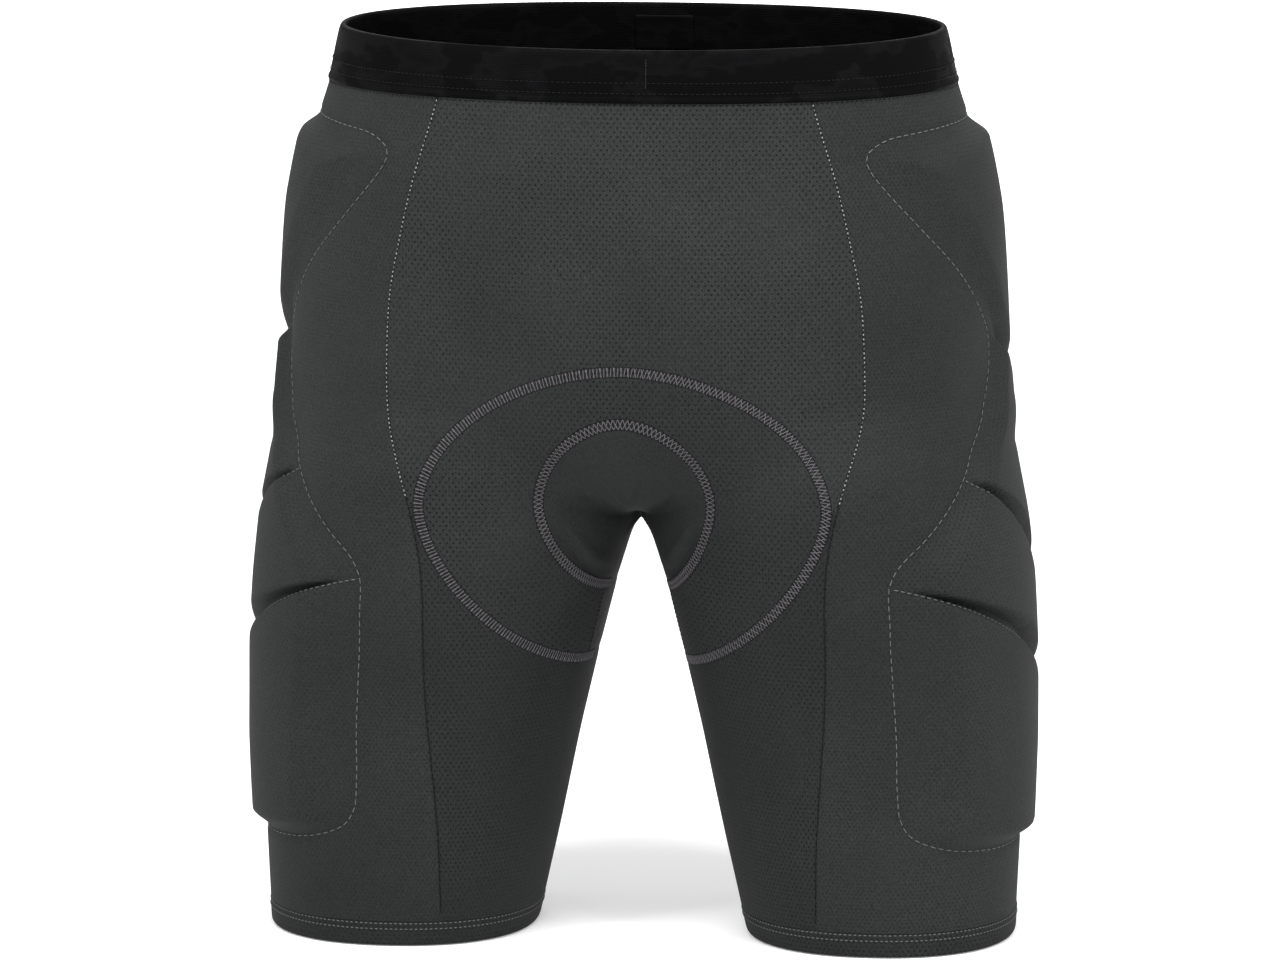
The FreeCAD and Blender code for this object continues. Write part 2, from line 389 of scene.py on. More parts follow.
def seam_dents(p):
    """Shallow valleys that the sewing pulls into the knit."""
    x, z = p[:, 0], p[:, 2]
    gap = np.abs(x) - princess_at(z)
    dent = -0.45 * np.exp(-(gap / 1.5) ** 2)
    dent += -0.35 * np.exp(-(egg_level(x, z, OVAL) / 3.2) ** 2)
    dent += -0.35 * np.exp(-(egg_level(x, z, RING) / 3.2) ** 2)
    side = beside_pads(p)
    rim = inside_distance(SHORTS_LOOP, p[side, 1], z[side])
    dent[side] += -0.7 * np.exp(-(rim / 1.8) ** 2)
    return dent


def lift_at(p):
    return pad_lift(p) + tail_lift(p) + fold_lift(p) + seam_dents(p)


# ---- cutting the net

def clip(points, faces, level):
    """Keep the part of a triangle net where level is positive, cut exactly at zero."""
    level = np.where(np.abs(level) < 1e-4, 1e-4, level)
    positive = level[faces] > 0
    count = positive.sum(1)
    kept = [faces[count == 3]]
    mixed = faces[(count == 1) | (count == 2)]
    sign = positive[(count == 1) | (count == 2)]
    lone_positive = sign.sum(1) == 1
    lone = np.where(lone_positive, sign.argmax(1), (~sign).argmax(1))
    rows = np.arange(len(mixed))
    a = mixed[rows, lone]
    b = mixed[rows, (lone + 1) % 3]
    c = mixed[rows, (lone + 2) % 3]
    edges = np.sort(np.concatenate([np.stack([a, b], 1), np.stack([a, c], 1)]), 1)
    unique, order = np.unique(edges, axis=0, return_inverse=True)
    order = order.reshape(-1)
    t = level[unique[:, 0]] / (level[unique[:, 0]] - level[unique[:, 1]])
    fresh = points[unique[:, 0]] * (1 - t)[:, None] + points[unique[:, 1]] * t[:, None]
    ab = order[:len(a)] + len(points)
    ac = order[len(a):] + len(points)
    kept.append(np.stack([a, ab, ac], 1)[lone_positive])
    kept.append(np.stack([ab, b, c], 1)[~lone_positive])
    kept.append(np.stack([ab, c, ac], 1)[~lone_positive])
    faces = np.concatenate(kept)
    points = np.concatenate([points, fresh])
    used, inverse = np.unique(faces, return_inverse=True)
    return points[used], inverse.reshape(-1, 3)


class Net:
    """A triangle net on the worn shape, before it is lifted by pads and folds."""

    def __init__(self, points, faces):
        self.points = points
        self.faces = faces

    def cut(self, level):
        """The part where level(points) is positive."""
        points, faces = clip(self.points, self.faces, level(self.points))
        return Net(settle(points, 1) if len(points) else points, faces)


# ---- making pieces

def place(points):
    """Millimetres from the side line to metres in the frame."""
    return (points - np.array([0, MIDDLE, 0])) * MM


def new_piece(name, points, faces, material):
    """A mesh piece on the root body from points in millimetres."""
    mesh = bpy.data.meshes.new(name)
    spots = place(points)
    loops = faces.reshape(-1)
    starts = np.arange(len(faces)) * faces.shape[1]
    mesh.vertices.add(len(spots))
    mesh.vertices.foreach_set("co", spots.astype(np.float32).reshape(-1))
    mesh.loops.add(len(loops))
    mesh.loops.foreach_set("vertex_index", loops.astype(np.int32))
    mesh.polygons.add(len(starts))
    mesh.polygons.foreach_set("loop_start", starts.astype(np.int32))
    mesh.polygons.foreach_set("use_smooth", np.full(len(starts), True))
    mesh.update(calc_edges=True)
    mesh.validate()
    mesh.materials.append(material)
    piece = bpy.data.objects.new(name, mesh)
    bpy.context.scene.collection.objects.link(piece)
    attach(piece, "root")
    return piece


def border(faces):
    """Directed border edges of a triangle net."""
    edges = np.concatenate([faces[:, [0, 1]], faces[:, [1, 2]], faces[:, [2, 0]]])
    key = edges[:, 0].astype(np.int64) * (faces.max() + 1) + edges[:, 1]
    back = edges[:, 1].astype(np.int64) * (faces.max() + 1) + edges[:, 0]
    return edges[~np.isin(key, back)]


def closed(faces, count):
    """Faces of a closed layer: one side, the other side count points on, and the rim's walls."""
    rim = border(faces)
    walls = np.concatenate([
        np.stack([rim[:, 1], rim[:, 0], rim[:, 0] + count], 1),
        np.stack([rim[:, 1], rim[:, 0] + count, rim[:, 1] + count], 1)])
    return np.concatenate([faces, faces[:, ::-1] + count, walls])


def layer(name, net, outer, inner, material):
    """Closed cloth or foam layer between two heights above the worn shape."""
    normals = level_normal(net.points)
    top = net.points + normals * outer[:, None]
    low = net.points + normals * inner[:, None]
    faces = closed(net.faces, len(top))
    return new_piece(name, np.concatenate([top, low]), faces, material)


def fabric_panel(name, net, material):
    """One sewn panel of knit, replacing its CAD solid."""
    lift = lift_at(net.points)
    piece = layer(name + "_knit", net, lift, lift - FABRIC, material)
    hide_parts(name)


# ---- threads

def capsule():
    """Template of one stitch: unit length along x, unit radius, rounded ends."""
    ring_sides = 6
    stations = [(-0.5, 0.0), (-0.47, 0.6), (-0.38, 0.95), (0.0, 1.0), (0.38, 0.95), (0.47, 0.6),
                (0.5, 0.0)]
    points = []
    faces = []
    for along, size in stations[1:-1]:
        for k in range(ring_sides):
            turn = 2 * math.pi * k / ring_sides
            points.append((along, size * math.cos(turn), size * math.sin(turn)))
    rows = len(stations) - 2
    for row in range(rows - 1):
        for k in range(ring_sides):
            a = row * ring_sides + k
            b = row * ring_sides + (k + 1) % ring_sides
            faces.append((a, b, b + ring_sides))
            faces.append((a, b + ring_sides, a + ring_sides))
    first = len(points)
    points.append((-0.5, 0, 0))
    points.append((0.5, 0, 0))
    last = (rows - 1) * ring_sides
    for k in range(ring_sides):
        faces.append((first, (k + 1) % ring_sides, k))
        faces.append((first + 1, last + k, last + (k + 1) % ring_sides))
    return np.array(points, float), np.array(faces)


CAPSULE_POINTS, CAPSULE_FACES = capsule()


def threads(name, starts, ends, normals, radius, material, slot, flat=0.7):
    """Stitches as short rounded threads from starts to ends, all one piece."""
    way = ends - starts
    length = np.linalg.norm(way, axis=1, keepdims=True)
    way = way / np.maximum(length, 1e-6)
    across = np.cross(normals, way)
    across /= np.maximum(np.linalg.norm(across, axis=1, keepdims=True), 1e-6)
    up = np.cross(way, across)
    t = CAPSULE_POINTS
    middle = (starts + ends) / 2
    arch = 0.25 * radius * (1 - (2 * t[:, 0]) ** 2)
    points = (middle[:, None]
              + way[:, None] * (t[None, :, :1] * length[:, None])
              + across[:, None] * t[None, :, 1:2] * radius
              + up[:, None] * (t[None, :, 2:] * radius * flat + arch[None, :, None]))
    shift = np.arange(len(starts))[:, None, None] * len(t)
    faces = (CAPSULE_FACES[None] + shift).reshape(-1, 3)
    return new_piece(name, points.reshape(-1, 3), faces, material)


class Line:
    """A seam line lying on the finished knit, measured along its length."""

    def __init__(self, base, keep=None):
        base = settle(base, 4)
        normals = level_normal(base)
        points = base + normals * lift_at(base)[:, None]
        if keep is not None:
            points, normals = points[keep], normals[keep]
        gaps = np.linalg.norm(np.diff(points, axis=0), axis=1)
        self.at = np.concatenate([[0], np.cumsum(gaps)])
        self.points = points
        self.normals = normals
        self.length = self.at[-1]

    def take(self, s):
        point = np.stack([np.interp(s, self.at, self.points[:, a]) for a in range(3)], 1)
        normal = np.stack([np.interp(s, self.at, self.normals[:, a]) for a in range(3)], 1)
        normal /= np.linalg.norm(normal, axis=1, keepdims=True)
        ahead = np.stack([np.interp(s + 0.4, self.at, self.points[:, a]) for a in range(3)], 1)
        behind = np.stack([np.interp(s - 0.4, self.at, self.points[:, a]) for a in range(3)], 1)
        way = ahead - behind
        way /= np.maximum(np.linalg.norm(way, axis=1, keepdims=True), 1e-9)
        return point, normal, way, np.cross(normal, way)


def row_of(line, pitch, fill, side, up, margin=1.0):
    """Start, end and normal arrays of a running row of stitches along a line."""
    s = np.arange(margin * pitch, line.length - margin * pitch, pitch)
    half = pitch * fill / 2
    point_a, normal_a, _, across_a = line.take(s - half)
    point_b, normal_b, _, across_b = line.take(s + half)
    a = point_a + across_a * side + normal_a * up
    b = point_b + across_b * side + normal_b * up
    return a, b, normal_a


def bars(line, pitch, width, slant, up=0.2, steeper=0.0):
    """Threads that cross a seam from edge to edge, slant millimetres along it.

    steeper adds to the slant on the wearer's left."""
    s = np.arange(pitch, line.length - pitch, pitch)
    slant = slant + steeper * np.clip(line.take(s)[0][:, 0] / 25, 0, 1)
    point_a, normal_a, _, across_a = line.take(s - slant / 2)
    point_b, normal_b, _, across_b = line.take(s + slant / 2)
    a = point_a - across_a * width / 2 + normal_a * up
    b = point_b + across_b * width / 2 + normal_b * up
    return a, b, normal_a


def joined(*groups):
    return [np.concatenate(parts) for parts in zip(*groups)]


DEEPEST = 150.0                                      # further out than the front or the back


def on_face(x, z, front):
    """Points of the front or back surface at each x and z, and which of them were found."""
    outward = -1.0 if front else 1.0
    found = np.zeros(len(x))
    for y in outward * DEEPEST * (1 - np.linspace(0, 1, 121)):
        inside = body_level(np.stack([x, np.full(len(x), y), z], 1)) < 0
        found = np.where(inside & (found == 0), y, found)
    low = found + outward * 2.6
    high = found.copy()
    for _ in range(18):
        mid = (low + high) / 2
        inside = body_level(np.stack([x, mid, z], 1)) < 0
        high = np.where(inside, mid, high)
        low = np.where(inside, low, mid)
    return np.stack([x, high, z], 1), found != 0


def on_side(y, z, side):
    """Points of the outer side surface at each y and z."""
    low = np.full(len(y), 60.0)
    high = np.full(len(y), 230.0)
    for _ in range(26):
        mid = (low + high) / 2
        inside = body_level(np.stack([mid * side, y, z], 1)) < 0
        low = np.where(inside, mid, low)
        high = np.where(inside, high, mid)
    return np.stack([low * side, y, z], 1)


def dense(outline, closed=True, step=0.7):
    """An outline resampled evenly."""
    pts = np.asarray(outline, float)
    if closed:
        pts = np.concatenate([pts, pts[:1]])
    at = np.concatenate([[0], np.cumsum(np.linalg.norm(np.diff(pts, axis=0), axis=1))])
    s = np.arange(0, at[-1], step)
    return np.stack([np.interp(s, at, pts[:, a]) for a in range(pts.shape[1])], 1)


def egg_path(egg):
    """Half of an egg outline as x against z, from its top down one side."""
    turn = np.linspace(math.pi / 2, -math.pi / 2, 241)
    power = 2 / np.where(turn > 0, EGG_UP, EGG_DOWN)
    x = np.abs(np.cos(turn)) ** power * egg["half"]
    reach = np.where(turn > 0, egg["up"], egg["down"])
    z = egg["z"] + np.sign(np.sin(turn)) * np.abs(np.sin(turn)) ** power * reach
    return dense(np.stack([x, z], 1), False)


# ---- materials

class Nodes:
    """Short helpers for one procedural material."""

    def __init__(self, name):
        self.material = bpy.data.materials.new(name)
        self.material.use_nodes = True
        self.tree = self.material.node_tree
        self.shader = self.tree.nodes["Principled BSDF"]
        self.place = self.add("ShaderNodeTexCoord").outputs["Object"]

    def add(self, kind, **settings):
        node = self.tree.nodes.new(kind)
        for key, value in settings.items():
            setattr(node, key, value)
        return node

    def link(self, source, target):
        self.tree.links.new(source, target)

    def math(self, operation, a, b=None, clamp=False):
        node = self.add("ShaderNodeMath", operation=operation, use_clamp=clamp)
        for socket, value in zip(node.inputs, (a, b)):
            if value is None:
                continue
            if isinstance(value, (int, float)):
                socket.default_value = value
            else:
                self.link(value, socket)
        return node.outputs[0]

    def noise(self, scale, detail=3.0, stretch=(1, 1, 1), rough=0.55):
        mapping = self.add("ShaderNodeMapping")
        mapping.inputs["Scale"].default_value = stretch
        self.link(self.place, mapping.inputs["Vector"])
        node = self.add("ShaderNodeTexNoise")
        node.inputs["Scale"].default_value = scale
        node.inputs["Detail"].default_value = detail
        node.inputs["Roughness"].default_value = rough
        self.link(mapping.outputs[0], node.inputs["Vector"])
        return node.outputs["Fac"]

    def round_the_side(self, split, centre=0.10, radius=0.092):
        """Distance round the outer side of the garment, for a pattern that wraps it."""
        out = self.math("SUBTRACT", self.math("ABSOLUTE", split.outputs["X"]), centre)
        back = self.math("ADD", split.outputs["Y"], MIDDLE * MM)
        return self.math("MULTIPLY", self.math("ARCTAN2", back, out), radius)

    def ramp(self, value, stops):
        node = self.add("ShaderNodeValToRGB")
        ramp = node.color_ramp
        while len(ramp.elements) < len(stops):
            ramp.elements.new(0.5)
        for element, (spot, colour) in zip(ramp.elements, stops):
            element.position = spot
            element.color = (*colour, 1)
        self.link(value, node.inputs[0])
        return node.outputs[0]

    def blend(self, factor, a, b, mode="MIX"):
        node = self.add("ShaderNodeMix", data_type="RGBA", blend_type=mode)
        for socket, value in ((node.inputs[0], factor), (node.inputs[6], a), (node.inputs[7], b)):
            if isinstance(value, (int, float)):
                socket.default_value = value
            elif isinstance(value, tuple):
                socket.default_value = (*value, 1)
            else:
                self.link(value, socket)
        return node.outputs[2]

    def bump(self, height, strength, distance):
        node = self.add("ShaderNodeBump")
        node.inputs["Strength"].default_value = strength
        node.inputs["Distance"].default_value = distance
        self.link(height, node.inputs["Height"])
        return node.outputs[0]

    def finish(self, colour, rough, normal=None, gloss=0.12):
        """Set the shader and hand back the material."""
        self.link(colour, self.shader.inputs["Base Color"])
        if isinstance(rough, (int, float)):
            self.shader.inputs["Roughness"].default_value = rough
        else:
            self.link(rough, self.shader.inputs["Roughness"])
        if normal is not None:
            self.link(normal, self.shader.inputs["Normal"])
        self.shader.inputs["Specular IOR Level"].default_value = gloss
        return self.material


def knit_field(n, across, along, pitch_a, pitch_z):
    """Distance to the middle of the nearest cell of a staggered pattern."""
    row = n.math("DIVIDE", along, pitch_z)
    row_number = n.math("FLOOR", row)
    odd = n.math("MULTIPLY", n.math("MODULO", n.math("ABSOLUTE", row_number), 2.0), 0.5)
    column = n.math("ADD", n.math("DIVIDE", across, pitch_a), odd)
    dx = n.math("MULTIPLY", n.math("SUBTRACT", n.math("FRACT", column), 0.5), pitch_a)
    dz = n.math("MULTIPLY", n.math("SUBTRACT", n.math("FRACT", row), 0.5), pitch_z)
    return n.math("SQRT", n.math("ADD", n.math("MULTIPLY", dx, dx), n.math("MULTIPLY", dz, dz)))


def knit_material(name, base, holes, side=False, pitch=0.0032):
    """Stretch knit: fine wales, mottled yarn and, where asked, staggered pinholes."""
    n = Nodes(name)
    split = n.add("ShaderNodeSeparateXYZ")
    n.link(n.place, split.inputs[0])
    across = n.round_the_side(split) if side else split.outputs["X"]
    along = split.outputs["Z"]
    mottle = n.noise(9.0, 4.0)
    yarn = n.noise(1300.0, 2.0, (1, 1, 0.6))
    wales = n.math("SINE", n.math("MULTIPLY", across, 2 * math.pi / 0.0011))
    courses = n.math("SINE", n.math("MULTIPLY", along, 2 * math.pi / 0.0009))
    weave = n.math("MULTIPLY", wales, courses)
    dark = tuple(c * 0.78 for c in base)
    light = tuple(c * 1.22 for c in base)
    colour = n.ramp(mottle, [(0.3, dark), (0.7, light)])
    grain = n.ramp(yarn, [(0.32, (0.62, 0.62, 0.62)), (0.70, (1.42, 1.42, 1.42))])
    colour = n.blend(0.75, colour, grain, "MULTIPLY")
    height = n.math("ADD", n.math("MULTIPLY", weave, 0.3), yarn)
    if holes:
        gap = knit_field(n, across, along, pitch, pitch * 0.68)
        wobble = n.math("MULTIPLY", n.noise(240.0, 1.0), 0.00045)
        inside = n.math("SUBTRACT", pitch * 0.27, n.math("ADD", gap, wobble))
        hole = n.math("DIVIDE", inside, 0.00030, clamp=True)
        patchy = n.ramp(n.noise(16.0, 2.0), [(0.30, (0.45, 0.45, 0.45)), (0.60, (1, 1, 1))])
        hole = n.math("MULTIPLY", n.math("MULTIPLY", hole, patchy), holes)
        colour = n.blend(hole, colour, tuple(c * 0.18 for c in base))
        height = n.math("SUBTRACT", height, n.math("MULTIPLY", hole, 1.5))
    rough = n.ramp(mottle, [(0.3, (0.74,) * 3), (0.7, (0.86,) * 3)])
    normal = n.bump(height, 0.35, 0.0004)
    return n.finish(colour, rough, normal)


def band_material():
    """Black waistband jacquard with a faint blotchy tonal print."""
    n = Nodes("waistband_jacquard")
    warp = n.noise(26.0, 3.0, (1, 1, 1.5), 0.6)
    blotch = n.ramp(warp, [(0.46, (0.0016, 0.0016, 0.0018)), (0.50, (0.0032, 0.0032, 0.0036)),
                           (0.60, (0.0020, 0.0020, 0.0023))])
    split = n.add("ShaderNodeSeparateXYZ")
    n.link(n.place, split.inputs[0])
    ribs = n.math("SINE", n.math("MULTIPLY", split.outputs["Z"], 2 * math.pi / 0.0012))
    fine = n.noise(1400.0, 2.0)
    height = n.math("ADD", n.math("MULTIPLY", ribs, 0.35), fine)
    rough = n.ramp(warp, [(0.44, (0.70,) * 3), (0.52, (0.56,) * 3)])
    return n.finish(blotch, rough, n.bump(height, 0.3, 0.0003), 0.03)


def thread_material(name, base):
    """Twisted sewing thread."""
    n = Nodes(name)
    twist = n.noise(2600.0, 1.0)
    dark = tuple(c * 0.7 for c in base)
    light = tuple(min(1, c * 1.25) for c in base)
    colour = n.ramp(twist, [(0.35, dark), (0.65, light)])
    return n.finish(colour, 0.7, n.bump(twist, 0.3, 0.0001))


def foam_material(name, base, cell):
    """Open foam with fine cells."""
    n = Nodes(name)
    cells = n.noise(cell, 3.0)
    colour = n.ramp(cells, [(0.35, tuple(c * 0.6 for c in base)), (0.65, base)])
    return n.finish(colour, 0.9, n.bump(cells, 0.5, 0.0006))


def floor_material():
    """Plain pale studio floor."""
    n = Nodes("studio_floor")
    tone = n.ramp(n.noise(0.4, 1.0), [(0.3, (0.90, 0.90, 0.90)), (0.7, (0.93, 0.93, 0.93))])
    n.link(tone, n.shader.inputs["Emission Color"])
    n.shader.inputs["Emission Strength"].default_value = 0.2
    return n.finish(tone, 0.9)


PINHOLE = knit_material("pinhole_knit", (0.0205, 0.0218, 0.0214), 0.95)
# darker copy of the pinhole knit for the leg panels and hems: painted shade of the lower legs, which
# face a little down, away from the top light
LEG_KNIT_PAINTED_SHADE = knit_material("leg_knit_painted_shade", (0.0162, 0.0172, 0.0169), 0.9, True)
INSERT = knit_material("insert_knit", (0.0180, 0.0191, 0.0188), 1.0)
SIDE = knit_material("side_knit", (0.0190, 0.0202, 0.0198), 0.8, True, 0.0027)
# the gusset's smooth knit, its base colour darkened partly as painted shade of the crotch, which
# curves under between the legs
SMOOTH_KNIT_SHADED = knit_material("smooth_knit", (0.0170, 0.0178, 0.0179), 0.0)
BAND = band_material()
LINING = knit_material("lining_mesh", (0.006, 0.006, 0.0065), 0.0)
THREAD_FLAT = thread_material("flatlock_thread", (0.100, 0.093, 0.103))
THREAD_LIGHT = thread_material("light_thread", (0.25, 0.25, 0.26))
THREAD_MID = thread_material("grey_thread", (0.110, 0.112, 0.114))
THREAD_DARK = thread_material("dark_thread", (0.0045, 0.0045, 0.005))
FOAM = foam_material("impact_foam", (0.09, 0.09, 0.10), 700.0)
ELASTIC = thread_material("black_elastic", (0.02, 0.02, 0.022))


# ---- camera and studio

AZIMUTH, ELEVATION, DISTANCE = 6.5, 9.6, 4.0          # degrees, degrees and metres
LENS = 225.0
AIM_HEIGHT, AIM_SHIFT = 0.2255, -0.0015              # metres; the shift is across the view


def camera():
    """Camera at the viewing angle of a catalogue picture, a little to the wearer's left."""
    scene = bpy.context.scene
    data = bpy.data.cameras.new("camera")
    shot = bpy.data.objects.new("camera", data)
    scene.collection.objects.link(shot)
    azimuth, elevation = math.radians(AZIMUTH), math.radians(ELEVATION)
    right = Vector((math.cos(azimuth), math.sin(azimuth), 0))
    forward = Vector((-math.sin(azimuth) * math.cos(elevation),
                      math.cos(azimuth) * math.cos(elevation), -math.sin(elevation)))
    target = Vector((0, -MIDDLE * MM, AIM_HEIGHT)) + right * AIM_SHIFT
    shot.location = target - forward * DISTANCE
    shot.rotation_euler = forward.to_track_quat("-Z", "Y").to_euler()
    data.sensor_width = 36.0
    data.lens = LENS
    data.clip_end = 50.0
    scene.camera = shot


def area_light(name, location, target, size, energy):
    data = bpy.data.lights.new(name, "AREA")
    data.shape = "RECTANGLE"
    data.size, data.size_y = size
    data.energy = energy
    lamp = bpy.data.objects.new(name, data)
    bpy.context.scene.collection.objects.link(lamp)
    lamp.location = location
    aim = Vector(target) - Vector(location)
    lamp.rotation_euler = aim.to_track_quat("-Z", "Y").to_euler()


AMBIENT = 0.22                                       # light from all round; the backdrop is white


def studio():
    """Pale floor, white surround and soft lights."""
    world = bpy.data.worlds.new("studio")
    bpy.context.scene.world = world
    world.use_nodes = True
    tree = world.node_tree
    sky = tree.nodes["Background"]
    sky.inputs["Color"].default_value = (1, 1, 1, 1)
    seen = tree.nodes.new("ShaderNodeLightPath").outputs["Is Camera Ray"]
    strength = tree.nodes.new("ShaderNodeMapRange")
    strength.inputs["To Min"].default_value = AMBIENT
    strength.inputs["To Max"].default_value = 1.0
    tree.links.new(seen, strength.inputs["Value"])
    tree.links.new(strength.outputs["Result"], sky.inputs["Strength"])
    bpy.context.scene.view_settings.view_transform = "Standard"
    middle = (0, 0, 0.25)
    area_light("key_left", (-1.0, -0.95, 1.3), (0, 0, 0.32), (0.5, 0.5), 16.5)
    area_light("key_right", (1.15, -0.8, 1.2), (0, 0, 0.32), (0.5, 0.5), 18)
    area_light("top_soft", (0, -0.7, 2.3), middle, (1.2, 1.2), 44)
    area_light("rim_left", (-2.0, 0.7, 0.9), middle, (0.8, 1.8), 7)
    area_light("rim_right", (2.0, 0.7, 0.9), middle, (0.8, 1.8), 7)
    area_light("backdrop", (0, 6.5, 4.5), (0, 7.5, 0), (9.0, 5.0), 1050)
    size = 12.0
    mesh = bpy.data.meshes.new("floor")
    corners = [(-size, -size, 0), (size, -size, 0), (size, size, 0), (-size, size, 0)]
    mesh.from_pydata(corners, [], [(0, 1, 2, 3)])
    mesh.materials.append(floor_material())
    floor = bpy.data.objects.new("floor", mesh)
    floor.location.z = -0.0005
    bpy.context.scene.collection.objects.link(floor)


# ---- the garment

def garment_net():
    """The whole worn shape as one triangle net."""
    points, quads = surface_net(GRID)
    points = relax(settle(points, 4), quads, 3)
    faces = np.concatenate([quads[:, [0, 1, 2]], quads[:, [0, 2, 3]]])
    return Net(points, faces)


def in_middle(p):
    return princess_at(p[:, 2]) - np.abs(p[:, 0])


def in_oval(p):
    return egg_level(p[:, 0], p[:, 2], OVAL)


def in_ring(p):
    return egg_level(p[:, 0], p[:, 2], RING)


def panels(whole):
    """Cut the whole net along its seams and make every knit panel."""
    cloth = whole.cut(lambda p: p[:, 2] - HEM_TOP).cut(lambda p: BAND_BOTTOM + 1.5 - p[:, 2])
    middle = cloth.cut(in_middle)
    oval = middle.cut(in_oval)
    # the gusset takes the smooth knit darkened with painted shade
    fabric_panel("crotch_gusset", oval.cut(in_ring), SMOOTH_KNIT_SHADED)
    fabric_panel("oval_insert", oval.cut(lambda p: -in_ring(p)), INSERT)
    rest = middle.cut(lambda p: -in_oval(p))
    upper = rest.cut(lambda p: p[:, 2] - OVAL["z"])
    fabric_panel("front_panel", upper.cut(lambda p: -p[:, 1]), PINHOLE)
    fabric_panel("back_panel", upper.cut(lambda p: p[:, 1]), PINHOLE)
    lower = rest.cut(lambda p: OVAL["z"] - p[:, 2])
    for side, name in SIDES:
        leg = lower.cut(lambda p: side * p[:, 0])
        for face, outward, flat in (("front", -1, (0.14, 0.23)), ("back", 1, (0.15, 0.23))):
            net = leg.cut(lambda p: outward * p[:, 1])
            # the leg panels take the darker knit with the painted shade of the legs
            fabric_panel("leg_%s_panel_%s" % (face, name), net, LEG_KNIT_PAINTED_SHADE)
        outer = cloth.cut(lambda p: -in_middle(p)).cut(lambda p: side * p[:, 0])
        fabric_panel("side_panel_" + name, outer, SIDE)
        side_pads(outer, name)
    return cloth


def side_pads(outer, name):
    """Foam pads and pocket linings inside one side panel."""
    gap = 0.6
    thigh = outer.cut(lambda p: inside_distance(THIGH_LOOP, p[:, 1], p[:, 2]) - gap)
    hip = outer.cut(lambda p: inside_distance(HIP_LOOP, p[:, 1], p[:, 2]) - gap)

    def foam(node, net):
        room = net.cut(lambda p: lift_at(p) - FABRIC - 1.2)
        lift = np.maximum(lift_at(room.points) - FABRIC - 0.4, 0.4)
        piece = layer(node + "_foam", room, lift, np.full(len(lift), 0.1), FOAM)
        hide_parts(node)

    def lining(node, net):
        top = np.minimum(lift_at(net.points) - FABRIC - 0.1, -0.1)
        piece = layer(node + "_mesh", net, top, top - 0.7, LINING)
        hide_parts(node)

    def high(p):
        return above_groove(GROOVES[1], p[:, 1], p[:, 2])

    def low(p):
        return above_groove(GROOVES[2], p[:, 1], p[:, 2])

    foam("hip_pad_" + name, hip)
    foam("thigh_pad_upper_" + name, thigh.cut(lambda p: high(p) - gap))
    below = thigh.cut(lambda p: -high(p) - gap)
    foam("thigh_pad_middle_" + name, below.cut(lambda p: low(p) - gap))
    foam("thigh_pad_lower_" + name, below.cut(lambda p: -low(p) - gap))
    lining("hip_pocket_lining_" + name, hip)
    lining("thigh_pocket_lining_" + name, thigh)


def inner_pads(cloth):
    """Tailbone pad and seat pad, inside the back panel and the crotch."""
    def made(node, net, top, low, material):
        high = np.minimum(lift_at(net.points) - FABRIC - 0.2, top)
        piece = layer(node + "_inside", net, high, high + low - top, material)
        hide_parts(node)

    back = cloth.cut(lambda p: p[:, 1] - 40)
    tail = back.cut(lambda p: inside_distance(TAIL_LOOP, p[:, 0], p[:, 2]))
    made("tailbone_pad", tail, -1.2, -6.0, FOAM)
    made("tailbone_pocket_lining", tail, -6.2, -6.9, LINING)
    seat = cloth.cut(lambda p: egg_level(p[:, 0], p[:, 2], RING, -3)).cut(lambda p: p[:, 2] - 209)
    made("seat_pad_foam", seat, -1.4, -4.8, FOAM)
    made("seat_pad_facing", seat, -5.0, -5.8, LINING)


# ---- band and hems

def loop_points(z, side, count):
    """Points and normals round the torso, or round one leg, at one height."""
    turn = np.arange(count) / count * 2 * math.pi
    if side is None:
        half, front, back = torso_at(z)
        centre = 0.0
    else:
        inner, outer, front, back = leg_at(z)
        half = (outer - inner) / 2
        centre = side * (inner + outer) / 2
    c, s = np.cos(turn), np.sin(turn)
    x = np.sign(c) * np.abs(c) ** (2 / ROUNDNESS) * half + centre
    y = np.sign(s) * np.abs(s) ** (2 / ROUNDNESS) * np.where(s < 0, front, back)
    p = np.stack([x, y, np.full(count, float(z))], 1)
    ahead = np.roll(p, -1, 0) - np.roll(p, 1, 0)
    normal = np.stack([ahead[:, 1], -ahead[:, 0], np.zeros(count)], 1)
    normal /= np.linalg.norm(normal, axis=1, keepdims=True)
    return p, normal


def ring_piece(name, profile, side, material, shape=None):
    """Closed ring swept round the torso or a leg from (outset, height) profile points."""
    rows = []
    for outset, z in profile:
        points, normals = loop_points(z, side, 480)
        rows.append(points + normals * outset)
    rows = np.array(rows)
    if shape is not None:
        rows = shape(rows)
    count = rows.shape[1]
    here = np.arange(count)
    ahead = (here + 1) % count
    faces = []
    for i in range(len(profile)):
        low = i * count
        high = (i + 1) % len(profile) * count
        faces.append(np.stack([low + here, low + ahead, high + ahead, high + here], 1))
    return new_piece(name, rows.reshape(-1, 3), np.concatenate(faces), material)


def dip(points):
    """The top of the waistband sits a little lower at the front."""
    points = points.copy()
    forward = np.clip(-points[..., 1] / 92, 0, 1)
    rise = np.clip((points[..., 2] - BAND_BOTTOM) / (TOP - BAND_BOTTOM), 0, 1)
    points[..., 2] -= DIP * forward ** 2 * (0.35 + 0.65 * rise)
    return points


def fine(profile, step=1.0):
    """A closed profile with extra points so that it bends smoothly."""
    return [tuple(p) for p in dense(smooth_loop(profile, 6), True, step)]


